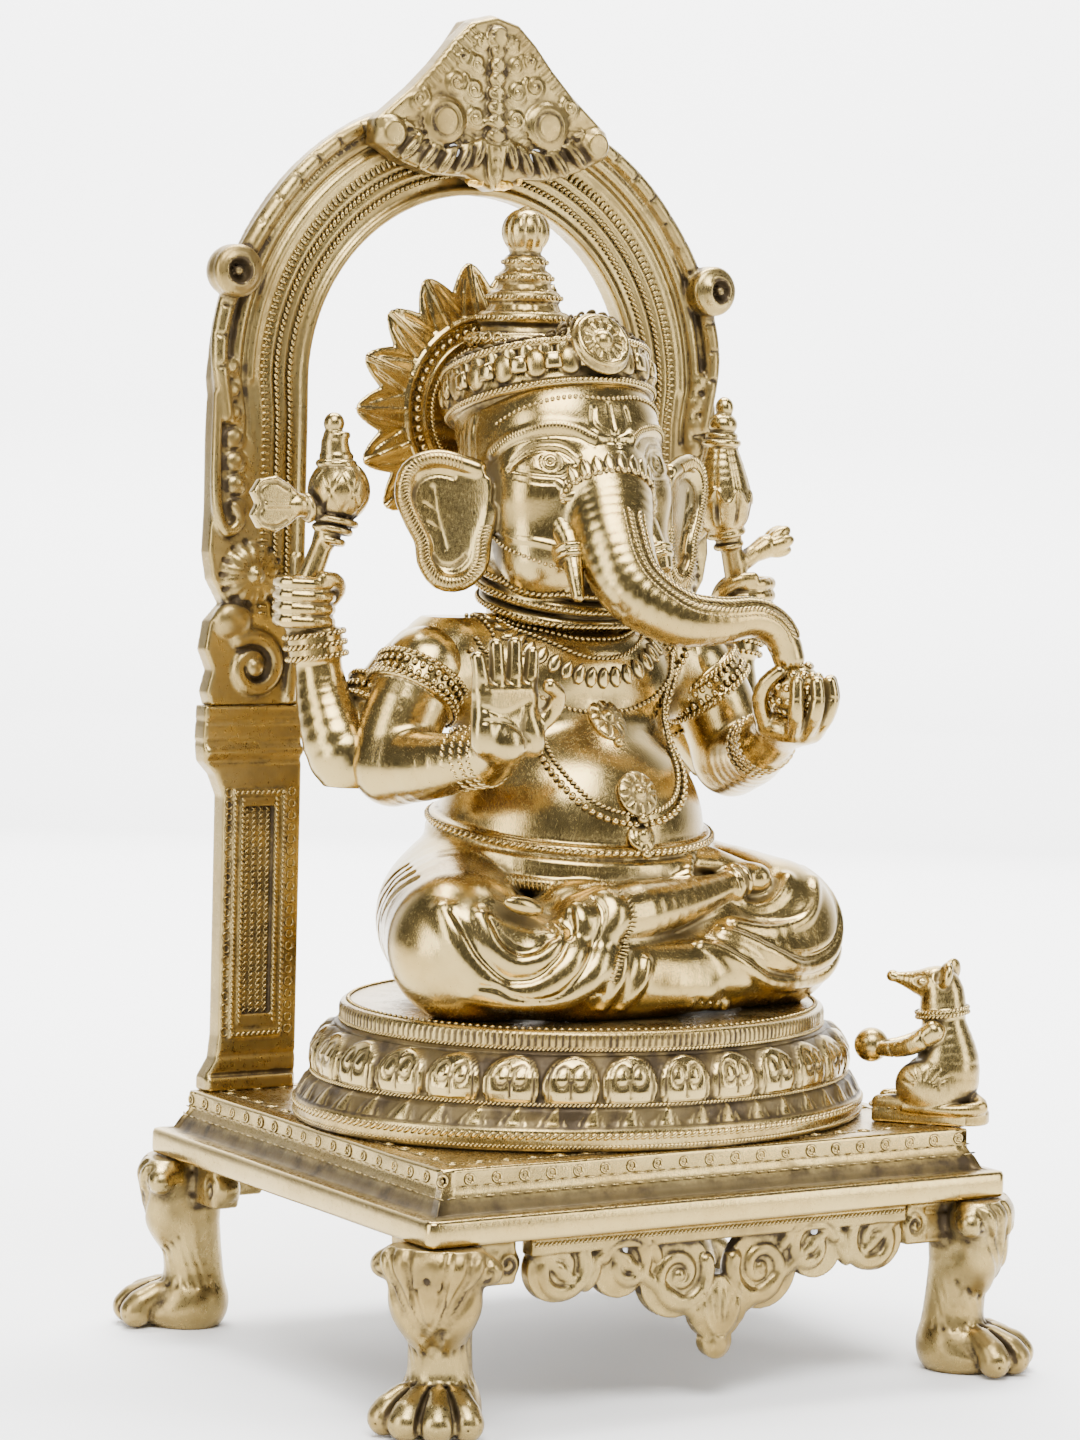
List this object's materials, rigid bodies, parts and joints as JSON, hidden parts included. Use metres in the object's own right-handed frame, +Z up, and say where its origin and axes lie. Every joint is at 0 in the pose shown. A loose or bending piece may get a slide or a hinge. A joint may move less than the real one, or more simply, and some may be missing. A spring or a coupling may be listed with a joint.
{
  "type": "seated deity figure with arch",
  "caption": "Cast-brass elephant-headed seated figure on a lotus pedestal and footed plinth, framed by a lift-out arch, with a small mouse beside it.",
  "frame": {"origin": "on the floor under the centre of the plinth", "axes": "+Z up, the figure faces -Y, its own right hand is on the -X side"},
  "size_m": [0.213, 0.186, 0.38],
  "materials": {
    "polished_brass": "cast brass, buffed bright, with dark wax left in the carving",
    "antiqued_brass": "cast brass with a brown patina, bright on its edges",
    "fastener_steel": "plain steel rod, hidden inside"
  },
  "bodies": {
    "base": {"plinth": "polished_brass", "leg_front_right": "antiqued_brass", "leg_front_left": "antiqued_brass", "leg_back_right": "antiqued_brass", "leg_back_left": "antiqued_brass", "leg_studs": "fastener_steel", "apron": "antiqued_brass", "apron_pins": "fastener_steel", "lotus_pedestal": "polished_brass", "torso": "polished_brass", "figure_studs": "fastener_steel", "figure_washers": "fastener_steel", "figure_nuts": "fastener_steel", "head": "polished_brass", "tusk_right": "polished_brass", "tusk_left": "polished_brass", "crown": "polished_brass", "halo": "polished_brass", "halo_pin": "fastener_steel", "arm_rear_right": "polished_brass", "arm_rear_left": "polished_brass", "arm_front_right": "polished_brass", "arm_front_left": "polished_brass", "axe_and_mace": "polished_brass", "lotus_bud": "polished_brass", "modak": "polished_brass", "mouse": "polished_brass", "mouse_peg": "fastener_steel"},
    "back_arch": {"pillar_right": "antiqued_brass", "pillar_left": "antiqued_brass", "arch": "antiqued_brass", "arch_dowels": "fastener_steel", "crest": "antiqued_brass", "crest_rivets": "fastener_steel"}
  },
  "joints": [
    {"name": "arch_lift", "type": "slide", "parent": "base", "child": "back_arch", "axis": [0, 0, 1], "range_m": [0, 0.03]}
  ]
}
